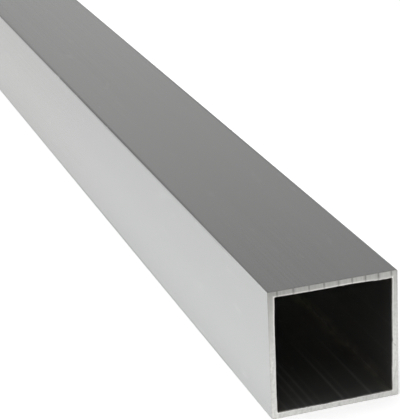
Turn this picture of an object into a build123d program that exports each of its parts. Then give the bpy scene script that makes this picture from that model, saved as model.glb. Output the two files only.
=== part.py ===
"""Square tube: one length of extruded aluminium stock, sawn square at both ends.

The tube lies along X on its bottom face. Z is up, and the origin is at the middle of the
bottom face. The section is drawn once and extruded over the cut length.
"""
from build123d import *
import os

# The section that the die gives, in mm
SIDE = 40.0            # outside width across the flats, the same both ways
WALL = 2.0             # thickness of all four walls
OUTER_RADIUS = 0.4     # the four long outside corners, which the die leaves almost sharp
BORE_RADIUS = 0.3      # the four long inside corners

# The cut, in mm
LENGTH = 1000.0        # length from saw cut to saw cut
OUTSIDE_BREAK = 0.1    # bevel on the outside of each sawn edge, only broken by the file
MOUTH_BREAK = 0.25     # bevel round the mouth of the bore, where the deburring blade ran


def tube_section():
    """The ring of wall on the plane of the far saw cut, resting on Z = 0."""
    cut_plane = Plane(origin=(-LENGTH / 2, 0, SIDE / 2), x_dir=(0, 1, 0), z_dir=(1, 0, 0))
    bore = SIDE - 2 * WALL
    with BuildSketch(cut_plane) as section:
        RectangleRounded(SIDE, SIDE, OUTER_RADIUS)
        RectangleRounded(bore, bore, BORE_RADIUS, mode=Mode.SUBTRACT)
    return section.sketch


def mouth_edges(ends):
    """The edges round the bore at both sawn ends."""
    return [edge for end in ends for wire in end.inner_wires() for edge in wire.edges()]


def rim_edges(ends):
    """The edges round the outside at both sawn ends."""
    return [edge for end in ends for edge in end.outer_wire().edges()]


def square_tube():
    """The tube, with its sawn edges deburred."""
    with BuildPart() as tube:
        extrude(tube_section(), amount=LENGTH)
        ends = tube.faces().filter_by(Axis.X)
        chamfer(mouth_edges(ends), length=MOUTH_BREAK)
        ends = tube.faces().filter_by(Axis.X)
        chamfer(rim_edges(ends), length=OUTSIDE_BREAK)
    return tube.part


os.makedirs("parts", exist_ok=True)
piece = square_tube()
piece.label = "square_tube"
export_step(piece, "parts/square_tube.step")
print(f"square_tube: {piece.volume:.1f} mm3, {len(piece.faces())} faces, valid {piece.is_valid}")
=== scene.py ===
import math

import bmesh
import bpy
from bpy.props import FloatProperty, FloatVectorProperty, IntProperty, PointerProperty
from mathutils import Matrix, Vector, noise
from mathutils.geometry import intersect_point_line


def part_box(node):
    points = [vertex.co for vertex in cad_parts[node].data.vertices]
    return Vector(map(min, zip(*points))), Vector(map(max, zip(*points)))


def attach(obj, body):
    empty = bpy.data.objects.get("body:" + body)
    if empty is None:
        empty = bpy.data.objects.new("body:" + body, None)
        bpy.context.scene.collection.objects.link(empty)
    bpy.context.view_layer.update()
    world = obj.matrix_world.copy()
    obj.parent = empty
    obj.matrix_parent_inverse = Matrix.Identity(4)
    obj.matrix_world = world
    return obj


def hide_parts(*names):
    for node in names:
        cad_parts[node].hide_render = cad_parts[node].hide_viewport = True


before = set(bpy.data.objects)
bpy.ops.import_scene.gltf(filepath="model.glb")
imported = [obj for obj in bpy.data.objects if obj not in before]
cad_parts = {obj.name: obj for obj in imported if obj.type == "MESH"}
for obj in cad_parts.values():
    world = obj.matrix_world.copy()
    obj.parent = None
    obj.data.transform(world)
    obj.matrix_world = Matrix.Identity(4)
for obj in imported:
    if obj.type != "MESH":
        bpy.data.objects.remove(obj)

bl_info = {
    "name": "Square tube",
    "version": (1, 0, 0),
    "blender": (4, 5, 0),
    "location": "View3D > Sidebar > Square tube",
    "description": "A length of extruded aluminium square tube with sawn ends, on a plain studio floor",
    "category": "Add Mesh",
}

MM = 0.001
TUBE_NODE = "square_tube"

# The tube as the frame holds it: it lies along X, with its bottom face on Z = 0.
LOW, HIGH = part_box(TUBE_NODE)
LENGTH = HIGH.x - LOW.x
SIDE = HIGH.z - LOW.z
HALF = SIDE / 2


def linear(code):
    """The linear RGB of an sRGB hex colour such as "C8CACA"."""
    shares = [int(code[i:i + 2], 16) / 255 for i in (0, 2, 4)]
    return tuple(s / 12.92 if s <= 0.04045 else ((s + 0.055) / 1.055) ** 2.4 for s in shares)


def clamped(value):
    """The nearest number from 0 to 1."""
    return min(1.0, max(0.0, value))


def mm(name, value, description):
    """A length property whose default is given in millimetres."""
    return FloatProperty(name=name, description=description, default=value * MM, min=0.0, unit="LENGTH",
                         precision=5)


def tint(name, code, description):
    """A colour property whose default is given as an sRGB hex code."""
    return FloatVectorProperty(name=name, description=description, default=linear(code), min=0.0, max=1.0,
                               size=3, subtype="COLOR")


def amount(name, value, description, top=1.0):
    """A plain number from 0 to top."""
    return FloatProperty(name=name, description=description, default=value, min=0.0, max=top,
                         subtype="FACTOR")


class TubeSizes(bpy.types.PropertyGroup):
    """The section, the sawn edges, and the relief that the saw and the die leave."""

    wall: mm("Wall", 2.0, "Thickness of all four walls")
    outer_radius: mm("Outer radius", 0.4, "Radius of the four long outside corners")
    bore_radius: mm("Bore radius", 0.3, "Radius of the four long inside corners")
    rim_break: mm("Rim break", 0.1, "Bevel on the outside of each sawn edge")
    mouth_break: mm("Mouth break", 0.25, "Bevel round the mouth of the bore")
    collar: mm("Collar", 1.0, "How far from the cut the burr reaches along the bore")
    tooth_depth: mm("Tooth depth", 0.03, "Depth of the deepest marks that the saw teeth leave")
    score_depth: mm("Score depth", 0.02, "Depth of the deepest scores that the die leaves along the bore")
    burr_reach: mm("Burr reach", 0.4, "How far a full burr leans into the bore")
    nick: mm("Nick", 0.3, "Half the width of the short scratch across the front cut")
    wall_cuts: IntProperty(name="Wall cuts", default=180, min=8, max=400,
                           description="Cuts along each wall of the section, which carry the sawn relief")
    ring_cuts: IntProperty(name="Ring cuts", default=8, min=1, max=20,
                           description="Cuts across the wall on the sawn faces")


class TubeFinish(bpy.types.PropertyGroup):
    """The colours and the sheen of the tube's surfaces."""

    skin: tint("Skin", "CDCFCE", "Natural anodised aluminium")
    sawn: tint("Sawn face", "D8D8D5", "Bare aluminium as the saw leaves it")
    # The grain's duller grey, which is also the colour of the painted shade high on the cuts.
    sawn_grain_and_shade: tint("Dull sawn face", "A2A29F", "Where the teeth rubbed instead of cutting clean")
    tooth_shadow: tint("Tooth mark", "6E6E6C", "The bottom of the deepest tooth marks")
    # The lip's own bright metal, with a painted highlight on it.
    lip: tint("Cut lip", "F2F2EE", "The bright lip that the saw pushes up round each mouth")
    bore: tint("Bore", "9C9C9A", "The dull inside of the extrusion")
    score: tint("Score", "CFCFCC", "The scores that the die leaves along the bore")
    stain: tint("Stain", "BBB8AC", "The film of old lubricant in the corners of the bore")
    skin_roughness: amount("Skin roughness", 0.22, "How soft the reflections in the outside are")
    sawn_roughness: amount("Sawn roughness", 0.42, "How soft the reflections in the sawn faces are")
    bore_roughness: amount("Bore roughness", 0.3, "How soft the reflections in the bore are")
    bore_metal: amount("Bore metal", 0.9, "How much of the bore is bare metal, and not a dull film")


class StudioLook(bpy.types.PropertyGroup):
    """The floor, the light and the camera."""

    floor: tint("Floor", "E6E6E6", "Plain pale floor")
    floor_glow: amount("Floor glow", 0.4, "Light added to the floor where it is seen, so that it shows white")
    lamp_strength: amount("Soft light", 1.9, "Strength of the large soft light overhead", 20.0)
    lamp_spread: FloatProperty(name="Light spread", default=math.radians(60), subtype="ANGLE",
                               description="How wide the soft light looks from the floor")
    lens: FloatProperty(name="Lens", default=149.445, min=10.0, unit="CAMERA", description="Focal length")
    camera_place: FloatVectorProperty(name="Camera place", default=(0.922006, -0.171606, 0.235086),
                                      subtype="TRANSLATION", unit="LENGTH",
                                      description="Where the camera stands")
    camera_turn: FloatVectorProperty(name="Camera turn", subtype="EULER",
                                     default=[math.radians(d) for d in (69.2962, 2.6861, 71.4833)],
                                     description="Which way the camera looks")


# ---------------------------------------------------------------- the tube's mesh

CORNER_STEPS = 6
BREAK_STEPS = 2
CLOSE = MM / 1000  # places nearer than this are taken as the same
LOOP_SLACK = MM / 2  # how far from its place a sawn edge may be and still be found
ENDWISE = 0.5  # a face whose normal has more than this along X is a saw cut
SKIN, SAWN, BORE = range(3)  # the tube's material slots
TOOTH_MARKS = "tooth_marks"  # mesh attribute: how deep the saw marked each point of the cuts, from 0 to 1
CUT_LIP = "cut_lip"  # mesh attribute: how much of the bright lip, with its painted highlight, is at each point of the cuts, from 0 to 1
DIE_SCORES = "die_scores"  # mesh attribute: how deep the die scored each point of the bore, from 0 to 1

# The saw blade came in from the -Y side. Its teeth leave arcs round its centre, given in mm across a cut.
BLADE_Y, BLADE_Z = -150.0, 38.0
FIRST_MARK = 132.9  # mm from the blade's centre to the first deep mark
MARK_SPACING = 5.05  # mm between deep marks as the blade enters
MARK_CROWDING = 0.00087  # how much closer they come with each mm, as the feed slows
MARK_WIDTH = 0.09  # half a mark's width, as a share of the spacing
ENTRY_Z = 38.2, 39.0  # mm: between these heights the teeth enter the top wall, and mark it ever deeper
MARK_FADE = 0.15  # what is left of a deep mark once the teeth cut freely
DEEP_MARKS = 0.8  # how deep the deep marks are, as a share of the deepest
FINE_MARKS = 0.35  # and the fine marks between them
FINE_WIDTH = 0.45  # mm from one fine mark to the next
BACK_CUT_SHIFT = 2.1  # mm by which the back cut's marks are out of step with the front's

# A mark's depth wanders up the cut: its middle, how far it wanders, and the mm from one wander to the next.
DEEP_MIDDLE, DEEP_WANDER, DEEP_RUN = 0.8, 0.4, 9
FINE_MIDDLE, FINE_WANDER, FINE_RUN = 0.5, 0.7, 7

# How far apart these are in the noise, so that they differ: deep marks, and the fine marks of the two cuts.
DEEP_APART, FINE_APART = 3.7, 5

# The walls, each with the axis it stands across and the side of the centre line it is on.
WALLS = {"right": (1, 1), "left": (1, -1), "top": (2, 1), "bottom": (2, -1)}

# Where the edge of a mouth strays from straight, by cut and wall: a place along the wall and a spread, in mm,
# then how far it leans into the bore, as a share of the burr's reach. With a minus sign it has broken away.
STRAYS = {
    (1, "top"): ((0, 40, 0.17), (16, 6, 1.05), (13, 0.5, 0.15), (14.5, 0.4, 0.15), (16.4, 0.6, 0.2),
                 (-4, 8, 0.15), (-17, 1.5, -0.15)),
    (1, "right"): ((36, 5, -0.3), (18, 0.7, -0.3), (7, 6, 0.3)),
    (1, "bottom"): ((0, 40, 0.09), (-15, 5, 0.15), (-3.5, 1.2, -0.25), (0.5, 1.5, 0.1), (5, 2.5, -0.2)),
    (1, "left"): ((38, 5.5, 0.55), (10, 6, -0.25)),
    (-1, "top"): ((-11, 0.6, 0.4),),
    (-1, "bottom"): ((7, 3, 0.3),),
    (-1, "left"): ((6, 2.2, 0.5), (21, 4, 0.2)),
}
RAGGED = 0.12  # how far the edge wanders everywhere, as a share of the burr's reach
RAGGED_STEP = 1.1  # mm from one wander to the next
BURR_APART, WALL_APART = 9.5, 2.5  # how far apart the two cuts and the walls are in the noise

LIP_WIDTH, LIP_FADE = 0.1, 0.3  # mm: the bright lip round each mouth, with its painted highlight, and how far it takes to fade
LIP_LOSS = 0.8  # the share of the lip along the top that a deep tooth mark takes away

# Scores along the bore: y and z in mm, then how deep each is. Half of them are on the bottom wall.
SCORES = ((-15.0, 2, 0.4), (-11.5, 2, 0.5), (-9.0, 2, 1.0), (-6.6, 2, 0.85), (-4.2, 2, 0.3), (2.5, 2, 1.0),
          (4.9, 2, 0.35), (11.3, 2, 0.8), (18, 13.0, 0.2), (18, 22.5, 0.25), (9.5, 38, 0.7), (3.4, 38, 0.4),
          (-13.0, 38, 1.0), (-18, 31.0, 0.5), (-18, 24.2, 0.9), (-18, 9.0, 0.6))
SCORE_WIDTH = 0.45  # half a score's width, in mm

NICK = Vector((18.3, 17.2)), Vector((19.3, 16.0))  # the ends of the scratch across the front cut, in mm
NICK_DEPTH = 0.3  # share of its width
NICK_SHADOW = 0.4  # how dark it is, beside the deepest tooth marks


def rounded_square(bm, side, radius):
    """A rounded square outline of edges, on the plane of the back saw cut."""
    place = Matrix.Translation((LOW.x, 0, HALF)) @ Matrix.Rotation(math.pi / 2, 4, "Y")
    corners = bmesh.ops.create_grid(bm, x_segments=1, y_segments=1, size=side / 2, matrix=place)["verts"]
    bmesh.ops.bevel(bm, geom=corners, offset=radius, offset_type="OFFSET", segments=CORNER_STEPS,
                    profile=0.5, affect="VERTICES", material=-1)
    face = bm.faces[:][0]
    outline = list(face.edges)
    bmesh.ops.delete(bm, geom=[face], context="FACES_ONLY")
    return outline


def extruded_ring(bm, sizes):
    """The whole wall of the tube, from saw cut to saw cut, with plain edges."""
    outside = rounded_square(bm, SIDE, sizes.outer_radius)
    bore = rounded_square(bm, SIDE - 2 * sizes.wall, sizes.bore_radius)
    bmesh.ops.bridge_loops(bm, edges=outside + bore)
    moved = bmesh.ops.extrude_face_region(bm, geom=bm.faces[:])["geom"]
    front = [v for v in moved if isinstance(v, bmesh.types.BMVert)]
    bmesh.ops.translate(bm, verts=front, vec=(LENGTH, 0, 0))
    bmesh.ops.recalc_face_normals(bm, faces=bm.faces[:])


def wall_reach(point):
    """How far a point is from the tube's centre line, measured square to the nearest wall."""
    return max(abs(point.y), abs(point.z - HALF))


def depth_from_cut(point):
    """How far a point is from the nearer saw cut, along the tube."""
    return LENGTH / 2 - abs(point.x)


def break_edges(bm, reach, size):
    """Bevels the sawn edges that lie about this far from the centre line."""
    bm.normal_update()
    loop = [e for e in bm.edges if {abs(f.normal.x) > ENDWISE for f in e.link_faces} == {True, False}
            and all(abs(wall_reach(v.co) - reach) < LOOP_SLACK for v in e.verts)]
    bmesh.ops.bevel(bm, geom=loop, offset=size, offset_type="OFFSET", segments=BREAK_STEPS, profile=0.5,
                    affect="EDGES", clamp_overlap=False, material=-1)


def cut_finely(bm, sizes):
    """Cuts the walls into narrow strips and the sawn faces into a grid, to carry the relief."""
    for depth in (sizes.collar, 2 * sizes.collar):
        for x in (LOW.x + depth, HIGH.x - depth):
            everything = bm.verts[:] + bm.edges[:] + bm.faces[:]
            bmesh.ops.bisect_plane(bm, geom=everything, plane_co=(x, 0, 0), plane_no=(1, 0, 0))
    across = [e for e in bm.edges if all(on_saw_cut(v.co) for v in e.verts)
              and abs(wall_reach(e.verts[0].co) - wall_reach(e.verts[1].co)) > sizes.wall / 2]
    bmesh.ops.subdivide_edges(bm, edges=across, cuts=sizes.ring_cuts, use_grid_fill=True)
    along = [e for e in bm.edges if e.calc_length() > SIDE / 2
             and abs(e.verts[0].co.x - e.verts[1].co.x) < MM]
    bmesh.ops.subdivide_edges(bm, edges=along, cuts=sizes.wall_cuts, use_grid_fill=True)


def on_saw_cut(point):
    """True on the plane of either saw cut."""
    return depth_from_cut(point) < CLOSE


def assign_finishes(bm, sizes):
    """Gives each face its material slot, with crisp lines between them."""
    bm.normal_update()
    for face in bm.faces:
        face.smooth = True
        centre = face.calc_center_median()
        outer = wall_reach(centre) > HALF - sizes.wall / 2
        if on_saw_cut(centre) or outer and depth_from_cut(centre) < sizes.rim_break:
            face.material_index = SAWN
        else:
            face.material_index = SKIN if outer else BORE
    for edge in bm.edges:
        edge.smooth = len({face.material_index for face in edge.link_faces}) == 1


def blade_travel(end, y, z):
    """How far the blade had come at a place on a cut, in mm past the first deep mark."""
    return math.hypot(end * y - BLADE_Y, z - BLADE_Z) - FIRST_MARK + (BACK_CUT_SHIFT if end < 0 else 0.0)


def deep_mark(beat):
    """How near a deep mark is, from 0 to 1. One comes with each beat."""
    return max(0.0, 1 - abs(beat - round(beat)) / MARK_WIDTH)


def tooth_beat(travel):
    """How many deep marks the teeth had left when the blade had come this far."""
    return travel / MARK_SPACING + MARK_CROWDING * travel ** 2


def tooth_mark(end, y, z):
    """How deep the teeth bit at a place on a cut, from 0 to 1. end is 1 at the front and -1 at the back."""
    travel = blade_travel(end, y, z)
    beat = tooth_beat(travel)
    entered = clamped((z - ENTRY_Z[0]) / (ENTRY_Z[1] - ENTRY_Z[0]))
    wander = noise.noise(Vector((round(beat) * DEEP_APART, z / DEEP_RUN, end)))
    evenness = DEEP_MIDDLE + DEEP_WANDER * wander
    deep = DEEP_MARKS * deep_mark(beat) * evenness * (MARK_FADE + (1 - MARK_FADE) * entered)
    wander = noise.noise(Vector((travel / FINE_WIDTH, z / FINE_RUN, end * FINE_APART)))
    fine = (FINE_MIDDLE + FINE_WANDER * wander) * (1 + entered) / 2
    return clamped(FINE_MARKS * fine + deep)


def press_tooth_marks(bm, sizes):
    """Presses the saw's marks into both cuts, and keeps their depth for the material."""
    marks = bm.verts.layers.float.new(TOOTH_MARKS)
    for vert in bm.verts:
        if on_saw_cut(vert.co):
            end = math.copysign(1, vert.co.x)
            vert[marks] = tooth_mark(end, vert.co.y / MM, vert.co.z / MM)
            vert.co.x -= end * sizes.tooth_depth * vert[marks]


def mark_lip(bm, sizes):
    """Keeps where the bright lip and its painted highlight are for the material: on both cuts, along the
    bevel round the mouth.
    """
    lip = bm.verts.layers.float.new(CUT_LIP)
    bevel_top = HALF - sizes.wall + sizes.mouth_break
    for vert in bm.verts:
        if on_saw_cut(vert.co):
            away = (wall_reach(vert.co) - bevel_top) / MM
            travel = blade_travel(math.copysign(1, vert.co.x), vert.co.y / MM, vert.co.z / MM)
            over_mouth = vert.co.z > HALF + bevel_top - sizes.mouth_break
            lost = LIP_LOSS * deep_mark(tooth_beat(travel)) if over_mouth else 0.0
            vert[lip] = (1 - lost) * clamped((LIP_WIDTH + LIP_FADE - away) / LIP_FADE)


def press_die_scores(bm, sizes):
    """Presses the die's scores into the bore, and keeps their depth for the material."""
    scores = bm.verts.layers.float.new(DIE_SCORES)
    for vert in bm.verts:
        reach = wall_reach(vert.co)
        if reach < HALF - sizes.wall + CLOSE:
            y, z = vert.co.y / MM, vert.co.z / MM
            vert[scores] = max(share * math.exp(-((y - at_y) ** 2 + (z - at_z) ** 2) / SCORE_WIDTH ** 2)
                               for at_y, at_z, share in SCORES)
            stretch = sizes.score_depth * vert[scores] / reach
            vert.co.y += vert.co.y * stretch
            vert.co.z += (vert.co.z - HALF) * stretch


def burr_share(end, wall, along):
    """How far the burr leans into the bore at a place in mm along a wall, as a share of its full reach."""
    axis, side = WALLS[wall]
    wander = noise.noise(Vector((along / RAGGED_STEP, axis * WALL_APART + side, end * BURR_APART)))
    return RAGGED * wander + sum(share * math.exp(-((along - at) / spread) ** 2)
                                 for at, spread, share in STRAYS.get((end, wall), ()))


def lean_burr(bm, sizes):
    """Leans the edge round each mouth into the bore, wall by wall, as the saw pushes it."""
    mouth = HALF - sizes.wall
    for vert in bm.verts:
        deep = depth_from_cut(vert.co) / sizes.collar
        if deep < 1:
            end = math.copysign(1, vert.co.x)
            start = vert.co.copy()
            for wall, (axis, side) in WALLS.items():
                out = side * (start.y if axis == 1 else start.z - HALF)
                along = (start.z if axis == 1 else start.y) / MM
                off = max(mouth - out, out - mouth - sizes.mouth_break, 0.0)
                near = max(0.0, 1 - off / (sizes.wall / 2))
                vert.co[axis] -= side * sizes.burr_reach * burr_share(end, wall, along) * near * (1 - deep)


def scratch_nick(bm, sizes):
    """Scratches the front cut beside the mouth, where it was knocked."""
    marks = bm.verts.layers.float[TOOTH_MARKS]
    for vert in bm.verts:
        if vert.co.x > HIGH.x - sizes.mouth_break:
            place = Vector((vert.co.y, vert.co.z)) / MM
            nearest, along = intersect_point_line(place, *NICK)
            nearest = NICK[0].lerp(NICK[1], clamped(along))
            near = max(0.0, 1 - (place - nearest).length * MM / sizes.nick)
            vert.co.x -= NICK_DEPTH * sizes.nick * near
            vert[marks] = max(vert[marks], NICK_SHADOW * near)


def middle_of(part):
    """The middle of a point, an edge or a face, as three numbers."""
    if isinstance(part, bmesh.types.BMVert):
        return part.co.to_tuple()
    return (sum((vert.co for vert in part.verts), Vector()) / len(part.verts)).to_tuple()


def put_in_order(bm):
    """Sorts the mesh by place. The operators leave it in another order on each run."""
    for parts in (bm.verts, bm.edges, bm.faces):
        ranked = sorted(parts, key=middle_of)
        rank = {part: number for number, part in enumerate(ranked)}
        parts.sort(key=rank.get)


def make_tube(sizes):
    """The tube's mesh."""
    bm = bmesh.new()
    extruded_ring(bm, sizes)
    break_edges(bm, HALF - sizes.wall, sizes.mouth_break)
    break_edges(bm, HALF, sizes.rim_break)
    cut_finely(bm, sizes)
    assign_finishes(bm, sizes)
    mark_lip(bm, sizes)
    press_tooth_marks(bm, sizes)
    press_die_scores(bm, sizes)
    lean_burr(bm, sizes)
    scratch_nick(bm, sizes)
    put_in_order(bm)
    mesh = bpy.data.meshes.new("sawn_tube")
    bm.to_mesh(mesh)
    bm.free()
    return mesh


# ---------------------------------------------------------------- finishes

SHARE, FIRST, SECOND = 0, 6, 7  # a Mix node's sockets when it mixes colours
WHITE = linear("FFFFFF")

# Lengths and widths of the streaks along the tube, in mm. The die's real lines are finer, and these are drawn
# as coarse as they need to be to show.
DIE_BANDS = 700, 12
DIE_LINES = 160, 0.7
BORE_BANDS = 400, 4
BORE_LINES = 260, 0.9

# A change is two places, then its values before the first and after the second: 0 and 1 if they aren't given.
# Patches along the tube are their length and width in mm, then the change in the noise that makes them.
SCUFFS = (12, 3), (0.65, 0.75, 0.0, 0.5)
# Gaps in the painted shade along the long corners.
CORNER_SHADE_GAPS = (7, 3), (0.66, 0.74, 1.0, 0.1)
BORE_SPECKS = (4, 1.5), (0.68, 0.74, 0.0, 0.35)
SCORE_BREAKS = (45, 6), (0.3, 0.6, 0.4)
FILM_PATCHES = (9, 5), (0.48, 0.62, 0.35)
FILM_DROPS = (3.5, 2), (0.5, 0.6, 0.1, 1.1)

# The skin. A factor makes its colour lighter or darker, and a spread is how far streaks do so either way.
BAND_SPREAD, LINE_SPREAD = 0.04, 0.08
LINES_SEEN = 0.4  # how much of the pattern is lines, where the rest is bands
SCUFF_LIGHT = 1.1  # the factor of a scuff
DARKEST = 0.6  # and of the painted shade where it is darkest
CORNER_REACH = 1.2, 0.3  # mm beneath a face: towards the long corners, where painted shade darkens them
FACE_REACH = 0.4, 0  # mm beneath a face: towards it, where its painted light and shade lie
SIDE_REACH = 0.15, 0.02  # mm beneath a side: towards it, where painted shade darkens its edges
SIDE_PAINTED_TINT = linear("FDFBFB")  # painted shade: the coating's grey is multiplied by this in the middle of the sides
SIDE_MIDDLE = 0.4 * LENGTH / 2, 0.7 * LENGTH / 2  # where that ends, outwards from the tube's middle
TOP_MIDDLE = 0.4 * LENGTH / 2, 0.65 * LENGTH / 2, 1.0, 0.0  # and where the top's painted light and shade end
SLANT_TINT = linear("D6D6D6")  # the coating dulls what the metal mirrors at a slant
LINE_NOISE = 0.3, 0.7  # the lines change the roughness between these heights of their noise
ROUGH_SPREAD = 0.03  # and by this much either way
SKIN_RELIEF = {"Strength": 0.3, "Distance": 0.01 * MM}  # how deep they look

# Painted shade along the long corners, and along the sides' edges near the ends: a share of half the tube's
# length, from its middle, then the share of the dark.
CORNER_SHADE_LENGTHWISE = ((0.3, 0.55), (0.45, 0.7), (0.66, 0.95), (0.76, 0.7), (0.86, 0.4), (0.94, 0.05))
EDGE_SHADE_LENGTHWISE = ((0.84, 0.0), (0.87, 0.55), (0.92, 0.6), (0.955, 0.0))

# Painted light and shade up the sides, and across the top from -Y: a share of the way, then a factor of the
# grey.
SIDE_SHADING_STOPS = ((0.0, 1.06), (0.12, 1.045), (0.35, 1.03), (1.0, 0.935))
TOP_SHADING_STOPS = ((0.0, 0.9), (0.06, 0.95), (0.15, 0.975), (0.45, 1.01), (0.7, 1.03), (1.0, 1.035))

# The sawn faces. Their changes are up a cut or across it, in metres, if nothing else is said.
SAWN_GRAIN = 0.9 * MM  # across a grain, which is drawn as coarse as it needs to be to show
GRAIN_DETAIL = 3  # how many times it is broken up finer
GRAIN_NOISE = 0.4, 0.7, 0.0, 0.35  # in its noise: how much of the dull colour it gives
SAWN_SHADE_HEIGHT = 0.45 * SIDE, SIDE  # painted shade: how much there is up a cut
SAWN_SHADE_ACROSS = -HALF, HALF, 1.0, 0.7  # and how much of that is left towards +Y
SAWN_LIGHT_HEIGHT = 0, 9 * MM, 1.0, 0.0  # painted light: how much there is up a cut
SAWN_LIGHT_ACROSS = -HALF, HALF, 1.0, -0.3  # and what is left of that towards +Y: below 0 it turns to painted shade, darker than plain
SAWN_LIGHT_FACTOR = 1.16  # the factor of the painted light
CUT_RIM = 0.4, 0.05, 0.0, 0.3  # mm beneath the outer faces: how dark the rim of the cut is
MARK_ROUGH = 0.15  # how much rougher a cut is in the deepest tooth marks
LIP_BREAKS = 9 * MM  # from one bright stretch of the lip to the next
LIP_NOISE = 0.4, 0.6, 0.6  # in the noise of those: how much of the lip there is
LIP_BY_HEIGHT = 0, 1, 0.45  # how much of it there is low on a cut, and high up in the painted shade
LIP_FADING = 2 * MM, 12 * MM, 1.0, 0.45  # and what is left of it along the top towards +Y
LIP_UPRIGHT = 17.5 * MM, 17.8 * MM  # where it is whole again, up the wall on that side

# The bore. Its changes are in mm beneath the walls, or in mm from the nearer cut, from further in to nearer.
BORE_SPREAD = 0.15  # how far its bands are lighter and darker
LINE_LIGHT = 1.1  # the factor of its lines
FILM_REACH = 4, 0.5  # towards a corner, where a film of old lubricant stays
CAKED_REACH = 1.2, 0.4  # into the corner, where the film is caked
CAKED_DEEP = 70.75, 62  # where the caking begins
CAKED_NEAR = 32, 6, 1.0, 0.0  # and where it ends
CAKED_METAL = 0.66  # how much of the caked corner is metal
SCORES_SEEN = 45, 12  # where the scores show
DEPTH_PAINTED_LIGHT = 70, 0, 4.0, 1.4  # painted light: the factor of the metal, painted paler deep inside than at the cut
BESIDE_CUT_LIGHT = 7, 0, 0.0, 0.6  # and what is added beside the cut
BEVEL_LIGHT = -0.03, -0.1, 1.0, 0.5  # the factor of the bevel round the mouth, which lies outside the walls
PALE_SIDE = -12 * MM, -4 * MM, 1.25, 1.0  # the factor of the -Y side, by Y in metres
BORE_RELIEF = {"Strength": 0.5, "Distance": 0.03 * MM}  # how deep the scores look, beyond their own depth

# Painted shade up the bore's walls: how light it is, at a share of the tube's height, then a factor.
BORE_WALL_SHADE = ((0.06, 0.48), (0.12, 0.51), (0.4, 0.47), (0.75, 0.37))


def add_node(tree, kind, links=(), **settings):
    """Adds a node. Settings go on it, and links feed its inputs: values, sockets or nodes' first outputs."""
    node = tree.nodes.new(kind)
    for name, value in settings.items():
        setattr(node, name, value)
    for name, value in dict(links).items():
        if isinstance(value, bpy.types.Node):
            value = next(output for output in value.outputs if output.enabled)
        if isinstance(value, bpy.types.NodeSocket):
            tree.links.new(value, node.inputs[name])
        else:
            node.inputs[name].default_value = value
    return node


def new_finish(name):
    """A material with no nodes but its output."""
    material = bpy.data.materials.new(name)
    material.use_nodes = True
    material.node_tree.nodes.clear()
    return material, material.node_tree, material.node_tree.nodes.new("ShaderNodeOutputMaterial")


def shade(colour, factor=1.0):
    """A linear colour made lighter or darker, with an alpha of 1."""
    return tuple(c * factor for c in colour) + (1.0,)


def set_stops(ramp, stops, colour=WHITE):
    """Gives a colour ramp these stops: a place from 0 to 1, then how light the colour is there."""
    for place, _ in stops[1:-1]:
        ramp.color_ramp.elements.new(place)
    for stop, (place, factor) in zip(ramp.color_ramp.elements, stops):
        stop.position = place
        stop.color = shade(colour, factor)
    return ramp


def ranging(start, end, before=0.0, after=1.0):
    """A Map Range node's settings for a change between two places."""
    return {"From Min": start, "From Max": end, "To Min": before, "To Max": after}


def beneath(face, start, end, before=0.0, after=1.0):
    """A Map Range node's settings for a change between two places in mm beneath a face."""
    return ranging(face - start * MM, face - end * MM, before, after)


def from_floor(tree):
    """Where a point is: X along the tube and Y sideways, both from its middle, and Z up from the floor."""
    place = add_node(tree, "ShaderNodeTexCoord").outputs["Object"]
    return add_node(tree, "ShaderNodeSeparateXYZ", {"Vector": place}).outputs


def from_centre(tree):
    """How far a point is from the tube's centre: X along the tube, Y sideways and Z in height."""
    place = add_node(tree, "ShaderNodeTexCoord").outputs["Object"]
    centred = add_node(tree, "ShaderNodeMapping", {"Vector": place, "Location": (0, 0, -HALF)})
    away = add_node(tree, "ShaderNodeVectorMath", {0: centred}, operation="ABSOLUTE")
    return add_node(tree, "ShaderNodeSeparateXYZ", {"Vector": away}).outputs


def streaks(tree, size):
    """Noise drawn out along the tube: streaks of this length and width, in mm."""
    place = add_node(tree, "ShaderNodeTexCoord").outputs["Object"]
    length, width = size
    stretch = [1 / (reach * MM) for reach in (length, width, width)]
    drawn = add_node(tree, "ShaderNodeMapping", {"Vector": place, "Scale": stretch})
    return add_node(tree, "ShaderNodeTexNoise", {"Vector": drawn, "Scale": 1.0})


def streaked(tree, size, colour, spread):
    """A colour with lighter and darker streaks along the tube."""
    return add_node(tree, "ShaderNodeMix", {SHARE: streaks(tree, size), FIRST: shade(colour, 1 - spread),
                                            SECOND: shade(colour, 1 + spread)}, data_type="RGBA")


def patches(tree, size, change):
    """How much of a patch there is: streaks that a change in their noise sets apart."""
    return add_node(tree, "ShaderNodeMapRange", {"Value": streaks(tree, size), **ranging(*change)})


def skin_colour(tree, finish):
    """The coating's grey, with faint bands and lines along the tube, and a few lighter scuffs."""
    bands = streaked(tree, DIE_BANDS, finish.skin, BAND_SPREAD)
    lines = streaked(tree, DIE_LINES, finish.skin, LINE_SPREAD)
    even = add_node(tree, "ShaderNodeMix", {SHARE: LINES_SEEN, FIRST: bands, SECOND: lines}, data_type="RGBA")
    return add_node(tree, "ShaderNodeMix", {SHARE: patches(tree, *SCUFFS), FIRST: even,
                                            SECOND: shade(finish.skin, SCUFF_LIGHT)}, data_type="RGBA")


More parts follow.
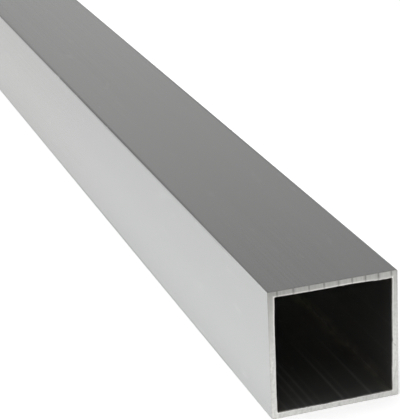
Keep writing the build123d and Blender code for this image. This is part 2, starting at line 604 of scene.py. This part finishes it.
def side_painted_shading(tree, away):
    """What the coating's grey is multiplied by on the sides, as painted light and shade: dimmer with height,
    warmer in their middle.
    """
    side = add_node(tree, "ShaderNodeMapRange", {"Value": away["Y"], **beneath(HALF, *FACE_REACH)})
    upward = add_node(tree, "ShaderNodeMapRange", {"Value": from_floor(tree)["Z"], **ranging(0, SIDE)})
    # Painted light and shade up the side: lighter low down, dimmer towards the top.
    tone = set_stops(add_node(tree, "ShaderNodeValToRGB", {"Fac": upward}), SIDE_SHADING_STOPS)
    outward = add_node(tree, "ShaderNodeMapRange", {"Value": away["X"], **ranging(*SIDE_MIDDLE)})
    # Painted shade, a little warm, along the middle of the sides.
    cast = add_node(tree, "ShaderNodeMix", {SHARE: outward, FIRST: shade(SIDE_PAINTED_TINT), SECOND: shade(WHITE)},
                    data_type="RGBA")
    dimmed = add_node(tree, "ShaderNodeVectorMath", {0: cast, 1: tone}, operation="MULTIPLY")
    return add_node(tree, "ShaderNodeMix", {SHARE: side, FIRST: shade(WHITE), SECOND: dimmed},
                    data_type="RGBA")


def top_painted_shading(tree, away):
    """What it is multiplied by in the middle of the top and the bottom, as painted light and shade: dimmest
    beside the -Y edge.
    """
    flat = add_node(tree, "ShaderNodeMapRange", {"Value": away["Z"], **beneath(HALF, *FACE_REACH)})
    inward = add_node(tree, "ShaderNodeMapRange", {"Value": away["X"], **ranging(*TOP_MIDDLE)})
    here = add_node(tree, "ShaderNodeMath", {0: flat, 1: inward}, operation="MULTIPLY")
    across = add_node(tree, "ShaderNodeMapRange", {"Value": from_floor(tree)["Y"], **ranging(-HALF, HALF)})
    # Painted light and shade across the top, darkest beside the -Y edge.
    tone = set_stops(add_node(tree, "ShaderNodeValToRGB", {"Fac": across}), TOP_SHADING_STOPS)
    return add_node(tree, "ShaderNodeMix", {SHARE: here, FIRST: shade(WHITE), SECOND: tone}, data_type="RGBA")


def corner_painted_shade(tree, away, outward):
    """How much painted shade darkens the long corners, broken up in gaps along the tube."""
    edge = add_node(tree, "ShaderNodeMapRange", {"Value": away["Y"], **beneath(HALF, *CORNER_REACH)})
    level = add_node(tree, "ShaderNodeMapRange", {"Value": away["Z"], **beneath(HALF, *CORNER_REACH)})
    # Painted shade along the long corners, by place along the tube.
    shade_lengthwise = set_stops(add_node(tree, "ShaderNodeValToRGB", {"Fac": outward}), CORNER_SHADE_LENGTHWISE)
    round_edge = add_node(tree, "ShaderNodeMath", {0: edge, 1: level}, operation="MULTIPLY")
    corner = add_node(tree, "ShaderNodeMath", {0: round_edge, 1: shade_lengthwise}, operation="MULTIPLY")
    return add_node(tree, "ShaderNodeMath", {0: corner, 1: patches(tree, *CORNER_SHADE_GAPS)}, operation="MULTIPLY")


def edge_painted_shade(tree, away, outward):
    """How much painted shade darkens the edges of the sides near the ends."""
    on_side = add_node(tree, "ShaderNodeMapRange", {"Value": away["Y"], **beneath(HALF, *SIDE_REACH)})
    level = add_node(tree, "ShaderNodeMapRange", {"Value": away["Z"], **beneath(HALF, *CORNER_REACH)})
    # Painted shade along the sides' edges, near the ends.
    edge_shade_lengthwise = set_stops(add_node(tree, "ShaderNodeValToRGB", {"Fac": outward}), EDGE_SHADE_LENGTHWISE)
    side_edge = add_node(tree, "ShaderNodeMath", {0: on_side, 1: level}, operation="MULTIPLY")
    return add_node(tree, "ShaderNodeMath", {0: side_edge, 1: edge_shade_lengthwise}, operation="MULTIPLY")


def satin_anodised(finish):
    """Extruded aluminium, naturally anodised: a soft grey sheen, with faint lines from the die.

    The coating's grey has faint bands, lines and lighter scuffs. Painted light and shade make the sides
    dimmer with height and the top dimmest beside its -Y edge, and painted shade darkens the long corners and
    the edges of the sides near the ends."""
    material, tree, output = new_finish("satin_anodised_aluminium")
    away = from_centre(tree)
    outward = add_node(tree, "ShaderNodeMath", {0: away["X"], 1: LENGTH / 2}, operation="DIVIDE")
    # Painted light and shade on the sides and across the top multiply the coating's grey.
    sided = add_node(tree, "ShaderNodeVectorMath", {0: skin_colour(tree, finish), 1: side_painted_shading(tree, away)},
                     operation="MULTIPLY")
    shaded = add_node(tree, "ShaderNodeVectorMath", {0: sided, 1: top_painted_shading(tree, away)}, operation="MULTIPLY")
    # Painted shade on the long corners and on the sides' edges.
    dark = add_node(tree, "ShaderNodeMath", {0: corner_painted_shade(tree, away, outward),
                                             1: edge_painted_shade(tree, away, outward)}, operation="MAXIMUM")
    base = add_node(tree, "ShaderNodeMix", {SHARE: dark, FIRST: shaded,
                                            SECOND: shade(finish.skin, DARKEST)}, data_type="RGBA")
    lines = streaks(tree, DIE_LINES)
    smooth, coarse = finish.skin_roughness - ROUGH_SPREAD, finish.skin_roughness + ROUGH_SPREAD
    rough = add_node(tree, "ShaderNodeMapRange", {"Value": lines, **ranging(*LINE_NOISE, smooth, coarse)})
    relief = add_node(tree, "ShaderNodeBump", {"Height": lines, **SKIN_RELIEF})
    metal = add_node(tree, "ShaderNodeBsdfPrincipled", {"Base Color": base, "Metallic": 1.0,
                                                        "Roughness": rough, "Normal": relief,
                                                        "Specular Tint": shade(SLANT_TINT)})
    tree.links.new(metal.outputs["BSDF"], output.inputs["Surface"])
    return material


def sawn_colour(tree, finish, where, rubbed):
    """The bare metal's grey, with a grain: painted light makes it pale low down on the -Y side, and painted
    shade greyer higher up.
    """
    # Painted shade high up on the cut, most towards -Y.
    shade_across = add_node(tree, "ShaderNodeMapRange", {"Value": where["Y"], **ranging(*SAWN_SHADE_ACROSS)})
    dull = add_node(tree, "ShaderNodeMath", {0: rubbed, 1: shade_across}, operation="MULTIPLY")
    # Painted light low down on the -Y side, turning to faint painted shade towards +Y.
    low = add_node(tree, "ShaderNodeMapRange", {"Value": where["Z"], **ranging(*SAWN_LIGHT_HEIGHT)})
    near = add_node(tree, "ShaderNodeMapRange", {"Value": where["Y"], **ranging(*SAWN_LIGHT_ACROSS)})
    clean = add_node(tree, "ShaderNodeMath", {0: low, 1: near}, operation="MULTIPLY")
    bare = add_node(tree, "ShaderNodeMix", {SHARE: clean, FIRST: shade(finish.sawn),
                                            SECOND: shade(finish.sawn, SAWN_LIGHT_FACTOR)},
                    data_type="RGBA", clamp_factor=False)
    cut = add_node(tree, "ShaderNodeMix", {SHARE: dull, FIRST: bare, SECOND: shade(finish.sawn_grain_and_shade)},
                   data_type="RGBA")
    place = add_node(tree, "ShaderNodeTexCoord").outputs["Object"]
    grain = add_node(tree, "ShaderNodeTexNoise", {"Vector": place, "Scale": 1 / SAWN_GRAIN,
                                                  "Detail": GRAIN_DETAIL})
    speckle = add_node(tree, "ShaderNodeMapRange", {"Value": grain, **ranging(*GRAIN_NOISE)})
    return add_node(tree, "ShaderNodeMix", {SHARE: speckle, FIRST: cut, SECOND: shade(finish.sawn_grain_and_shade)},
                    data_type="RGBA")


def lip_painted_highlight(tree, where, rubbed):
    """How much of the bright lip and its painted highlight there is: in stretches, most of it along the top,
    and less towards +Y.
    """
    edge = add_node(tree, "ShaderNodeAttribute", attribute_name=CUT_LIP).outputs["Fac"]
    place = add_node(tree, "ShaderNodeTexCoord").outputs["Object"]
    uneven = add_node(tree, "ShaderNodeTexNoise", {"Vector": place, "Scale": 1 / LIP_BREAKS})
    bright = add_node(tree, "ShaderNodeMapRange", {"Value": uneven, **ranging(*LIP_NOISE)})
    # The lip is fuller high up, in the painted shade.
    pushed = add_node(tree, "ShaderNodeMapRange", {"Value": rubbed, **ranging(*LIP_BY_HEIGHT)})
    stretch = add_node(tree, "ShaderNodeMath", {0: bright, 1: pushed}, operation="MULTIPLY")
    fading = add_node(tree, "ShaderNodeMapRange", {"Value": where["Y"], **ranging(*LIP_FADING)})
    upright = add_node(tree, "ShaderNodeMapRange", {"Value": where["Y"], **ranging(*LIP_UPRIGHT)})
    whole = add_node(tree, "ShaderNodeMath", {0: fading, 1: upright}, operation="MAXIMUM")
    left = add_node(tree, "ShaderNodeMath", {0: stretch, 1: whole}, operation="MULTIPLY")
    return add_node(tree, "ShaderNodeMath", {0: edge, 1: left}, operation="MULTIPLY")


def sawn_aluminium(finish):
    """Bare aluminium as the saw leaves it: brighter than the skin, with painted shade in the rougher tooth
    marks.

    Painted shade makes the face greyer towards the top, most on the -Y side, and painted light paler low down
    there.
    It darkens a little at its outer rim, and a bright lip runs round the mouth, with a painted highlight,
    clearest along the top."""
    material, tree, output = new_finish("sawn_aluminium")
    where, away = from_floor(tree), from_centre(tree)
    # How far up the cut's painted shade a point is; the lip follows it too.
    rubbed = add_node(tree, "ShaderNodeMapRange", {"Value": where["Z"], **ranging(*SAWN_SHADE_HEIGHT)})
    outmost = add_node(tree, "ShaderNodeMath", {0: away["Y"], 1: away["Z"]}, operation="MAXIMUM")
    rim = add_node(tree, "ShaderNodeMapRange", {"Value": outmost, **beneath(HALF, *CUT_RIM)})
    marks = add_node(tree, "ShaderNodeAttribute", attribute_name=TOOTH_MARKS).outputs["Fac"]
    dark = add_node(tree, "ShaderNodeMath", {0: marks, 1: rim}, operation="MAXIMUM")
    # Painted shade in the tooth marks, and a darker outer rim.
    marked = add_node(tree, "ShaderNodeMix", {SHARE: dark, FIRST: sawn_colour(tree, finish, where, rubbed),
                                              SECOND: shade(finish.tooth_shadow)}, data_type="RGBA")
    # Painted highlight on the bright lip round the mouth.
    base = add_node(tree, "ShaderNodeMix", {SHARE: lip_painted_highlight(tree, where, rubbed), FIRST: marked,
                                            SECOND: shade(finish.lip)}, data_type="RGBA")
    smooth, coarse = finish.sawn_roughness, finish.sawn_roughness + MARK_ROUGH
    rough = add_node(tree, "ShaderNodeMapRange", {"Value": marks, **ranging(0, 1, smooth, coarse)})
    metal = add_node(tree, "ShaderNodeBsdfPrincipled", {"Base Color": base, "Metallic": 1.0,
                                                        "Roughness": rough})
    tree.links.new(metal.outputs["BSDF"], output.inputs["Surface"])
    return material


def bore_colour(tree, finish, corner):
    """The dull metal's colour, with bands and lines along it, and a thin film in patches near the corners."""
    bands = streaked(tree, BORE_BANDS, finish.bore, BORE_SPREAD)
    lines = add_node(tree, "ShaderNodeMix", {SHARE: streaks(tree, BORE_LINES), FIRST: bands,
                                             SECOND: shade(finish.bore, LINE_LIGHT)}, data_type="RGBA")
    film = add_node(tree, "ShaderNodeMath", {0: corner, 1: patches(tree, *FILM_PATCHES)},
                    operation="MULTIPLY")
    return add_node(tree, "ShaderNodeMix", {SHARE: film, FIRST: lines, SECOND: shade(finish.stain)},
                    data_type="RGBA")


def bore_scores(tree, away):
    """How bright a point is: along the die's scores, which come and go and fade inwards, and in specks."""
    scores = add_node(tree, "ShaderNodeAttribute", attribute_name=DIE_SCORES).outputs["Fac"]
    broken = add_node(tree, "ShaderNodeMath", {0: scores, 1: patches(tree, *SCORE_BREAKS)},
                      operation="MULTIPLY")
    clear = add_node(tree, "ShaderNodeMapRange", {"Value": away["X"], **beneath(LENGTH / 2, *SCORES_SEEN)})
    seen = add_node(tree, "ShaderNodeMath", {0: broken, 1: clear}, operation="MULTIPLY")
    return add_node(tree, "ShaderNodeMath", {0: seen, 1: patches(tree, *BORE_SPECKS)}, operation="MAXIMUM")


def bore_lightness(tree, away, mouth):
    """The factor of the bore's colour: painted light inwards, painted shade up the walls, more towards -Y,
    less on the bevel.
    """
    # Painted light deep inside the bore, and lighter beside the cut.
    depth = add_node(tree, "ShaderNodeMapRange", {"Value": away["X"], **beneath(LENGTH / 2, *DEPTH_PAINTED_LIGHT)})
    wiped = add_node(tree, "ShaderNodeMapRange", {"Value": away["X"], **beneath(LENGTH / 2, *BESIDE_CUT_LIGHT)})
    lightness = add_node(tree, "ShaderNodeMath", {0: depth, 1: wiped}, operation="ADD")
    where = from_floor(tree)
    height = add_node(tree, "ShaderNodeMath", {0: where["Z"], 1: SIDE}, operation="DIVIDE")
    # Painted shade up the walls.
    tone = set_stops(add_node(tree, "ShaderNodeValToRGB", {"Fac": height}), BORE_WALL_SHADE)
    pale = add_node(tree, "ShaderNodeMapRange", {"Value": where["Y"], **ranging(*PALE_SIDE)})
    sided = add_node(tree, "ShaderNodeMath", {0: tone, 1: pale}, operation="MULTIPLY")
    outmost = add_node(tree, "ShaderNodeMath", {0: away["Y"], 1: away["Z"]}, operation="MAXIMUM")
    bevel = add_node(tree, "ShaderNodeMapRange", {"Value": outmost, **beneath(mouth, *BEVEL_LIGHT)})
    toned = add_node(tree, "ShaderNodeMath", {0: sided, 1: bevel}, operation="MULTIPLY")
    return add_node(tree, "ShaderNodeMath", {0: lightness, 1: toned}, operation="MULTIPLY")


def caked_film(tree, away, fillet):
    """How thick the film is that has caked in the corners: in drops, and only part of the way along."""
    caked = add_node(tree, "ShaderNodeMath", {0: fillet, 1: patches(tree, *FILM_DROPS)}, operation="MULTIPLY")
    further = add_node(tree, "ShaderNodeMapRange", {"Value": away["X"], **beneath(LENGTH / 2, *CAKED_NEAR)})
    nearer = add_node(tree, "ShaderNodeMapRange", {"Value": away["X"], **beneath(LENGTH / 2, *CAKED_DEEP)})
    inside = add_node(tree, "ShaderNodeMath", {0: further, 1: nearer}, operation="MULTIPLY")
    return add_node(tree, "ShaderNodeMath", {0: caked, 1: inside}, operation="MULTIPLY")


def die_scored_bore(sizes, finish):
    """The inside of the extrusion: dull and dark, with a few bright scores along it from the die.

    A film of old lubricant stays near the corners and is caked in them. Beside the cuts it is wiped away.
    Painted light makes the bore paler deep inside, and painted shade darker up its walls."""
    material, tree, output = new_finish("die_scored_bore")
    away = from_centre(tree)
    mouth = HALF - sizes.wall
    inmost = add_node(tree, "ShaderNodeMath", {0: away["Y"], 1: away["Z"]}, operation="MINIMUM")
    corner = add_node(tree, "ShaderNodeMapRange", {"Value": inmost, **beneath(mouth, *FILM_REACH)})
    fillet = add_node(tree, "ShaderNodeMapRange", {"Value": inmost, **beneath(mouth, *CAKED_REACH)})
    bright = bore_scores(tree, away)
    scored = add_node(tree, "ShaderNodeMix", {SHARE: bright, FIRST: bore_colour(tree, finish, corner),
                                              SECOND: shade(finish.score)}, data_type="RGBA")
    base = add_node(tree, "ShaderNodeVectorMath", {0: scored, "Scale": bore_lightness(tree, away, mouth)},
                    operation="SCALE")
    metallic = add_node(tree, "ShaderNodeMapRange", {"Value": caked_film(tree, away, fillet),
                                                     **ranging(0, 1, finish.bore_metal, CAKED_METAL)})
    relief = add_node(tree, "ShaderNodeBump", {"Height": bright, **BORE_RELIEF})
    metal = add_node(tree, "ShaderNodeBsdfPrincipled", {"Base Color": base, "Metallic": metallic,
                                                        "Roughness": finish.bore_roughness, "Normal": relief})
    tree.links.new(metal.outputs["BSDF"], output.inputs["Surface"])
    return material


# ---------------------------------------------------------------- the studio

FLOOR_SPAN = 15.0  # metres from the tube to the floor's edge
LAMP_TILT = (15, 5, 0)  # degrees the soft light leans towards -Y, then towards +X

# How bright the room is at each height above the horizon: the sine of its elevation, then a grey.
ROOM = ((0.0, 1.0), (0.06, 0.85), (0.2, 0.71), (0.28, 0.635), (0.42, 0.245), (0.6, 0.28), (1.0, 0.5))

ROOM_TINT = linear("FFFDFD")  # the room is very slightly warm


def pale_floor(look):
    """A plain matt floor that shows white where it is lit, and keeps the tube's soft shadow."""
    material, tree, output = new_finish("matt_studio_floor")
    matt = add_node(tree, "ShaderNodeBsdfDiffuse", {"Color": shade(look.floor)})
    ray = add_node(tree, "ShaderNodeLightPath").outputs
    sharp = add_node(tree, "ShaderNodeMath", {0: ray["Is Camera Ray"], 1: ray["Is Glossy Ray"]},
                     operation="ADD")
    seen = add_node(tree, "ShaderNodeMath", {0: sharp, 1: ray["Is Transmission Ray"]}, operation="ADD",
                    use_clamp=True)
    strength = add_node(tree, "ShaderNodeMath", {0: seen, 1: look.floor_glow}, operation="MULTIPLY")
    glow = add_node(tree, "ShaderNodeEmission", {"Strength": strength})
    both = add_node(tree, "ShaderNodeAddShader", {0: matt, 1: glow})
    tree.links.new(both.outputs["Shader"], output.inputs["Surface"])
    return material


def make_floor(look):
    """The floor, a large square with its top on Z = 0."""
    bm = bmesh.new()
    bmesh.ops.create_grid(bm, x_segments=1, y_segments=1, size=FLOOR_SPAN)
    mesh = bpy.data.meshes.new("studio_floor")
    bm.to_mesh(mesh)
    bm.free()
    mesh.materials.append(pale_floor(look))
    return mesh


def light_room():
    """The room's own light: pale at the horizon, dimmer above it."""
    world = bpy.data.worlds.new("studio_room")
    world.use_nodes = True
    tree = world.node_tree
    tree.nodes.clear()
    upward = add_node(tree, "ShaderNodeTexCoord").outputs["Generated"]
    height = add_node(tree, "ShaderNodeSeparateXYZ", {"Vector": upward}).outputs["Z"]
    ramp = add_node(tree, "ShaderNodeValToRGB", {"Fac": height})
    set_stops(ramp, ROOM, ROOM_TINT)
    light = add_node(tree, "ShaderNodeBackground", {"Color": ramp})
    add_node(tree, "ShaderNodeOutputWorld", {"Surface": light})
    bpy.context.scene.world = world


def show(name, data):
    """Puts data in the scene as an object."""
    shown = bpy.data.objects.new(name, data)
    bpy.context.scene.collection.objects.link(shown)
    return shown


def hang_lamp(look):
    """One large soft light overhead. The metal doesn't mirror it, so a flat face stays grey from above."""
    lamp = bpy.data.lights.new("soft_light", "SUN")
    lamp.energy = look.lamp_strength
    lamp.angle = look.lamp_spread
    shown = show("soft_light", lamp)
    shown.visible_glossy = False
    shown.rotation_euler = [math.radians(tilt) for tilt in LAMP_TILT]


def stand_camera(look):
    """The camera, looking down the tube from above its front end."""
    camera = bpy.data.cameras.new("camera")
    camera.lens = look.lens
    camera.clip_end = 4 * FLOOR_SPAN
    shown = show("camera", camera)
    shown.location = look.camera_place
    shown.rotation_euler = look.camera_turn
    bpy.context.scene.camera = shown


# ---------------------------------------------------------------- operators and panel

class TUBE_OT_sawn_tube(bpy.types.Operator):
    """Build the sawn length of square tube, with its finishes"""

    bl_idname = "tube.sawn_tube"
    bl_label = "Sawn tube"

    def execute(self, context):
        sizes, finish = context.scene.tube_sizes, context.scene.tube_finish
        mesh = make_tube(sizes)
        for material in (satin_anodised(finish), sawn_aluminium(finish), die_scored_bore(sizes, finish)):
            mesh.materials.append(material)
        tube = show("sawn_tube", mesh)
        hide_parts(TUBE_NODE)
        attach(tube, "root")
        return {"FINISHED"}


class TUBE_OT_studio(bpy.types.Operator):
    """Set up the floor, the light and the camera"""

    bl_idname = "tube.studio"
    bl_label = "Studio"

    def execute(self, context):
        look = context.scene.studio_look
        show("studio_floor", make_floor(look))
        light_room()
        hang_lamp(look)
        stand_camera(look)
        context.scene.view_settings.view_transform = "Standard"
        return {"FINISHED"}


class TUBE_PT_panel(bpy.types.Panel):
    """Lists the steps and the sizes, colours and lights that they use"""

    bl_idname = "TUBE_PT_panel"
    bl_label = "Square tube"
    bl_space_type = "VIEW_3D"
    bl_region_type = "UI"
    bl_category = "Square tube"

    def draw(self, context):
        for group in (context.scene.tube_sizes, context.scene.tube_finish, context.scene.studio_look):
            box = self.layout.box()
            for name in group.__annotations__:
                box.prop(group, name)
        for step in STEPS:
            self.layout.operator(step.bl_idname)


STEPS = (TUBE_OT_sawn_tube, TUBE_OT_studio)
CLASSES = (TubeSizes, TubeFinish, StudioLook, *STEPS, TUBE_PT_panel)


def register():
    for cls in CLASSES:
        bpy.utils.register_class(cls)
    bpy.types.Scene.tube_sizes = PointerProperty(type=TubeSizes)
    bpy.types.Scene.tube_finish = PointerProperty(type=TubeFinish)
    bpy.types.Scene.studio_look = PointerProperty(type=StudioLook)


def unregister():
    del bpy.types.Scene.studio_look
    del bpy.types.Scene.tube_finish
    del bpy.types.Scene.tube_sizes
    for cls in reversed(CLASSES):
        bpy.utils.unregister_class(cls)


def main():
    """Registers everything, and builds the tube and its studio."""
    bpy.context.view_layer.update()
    register()
    bpy.ops.tube.sawn_tube()
    bpy.ops.tube.studio()
    bpy.context.view_layer.update()


if __name__ == "__main__":
    main()
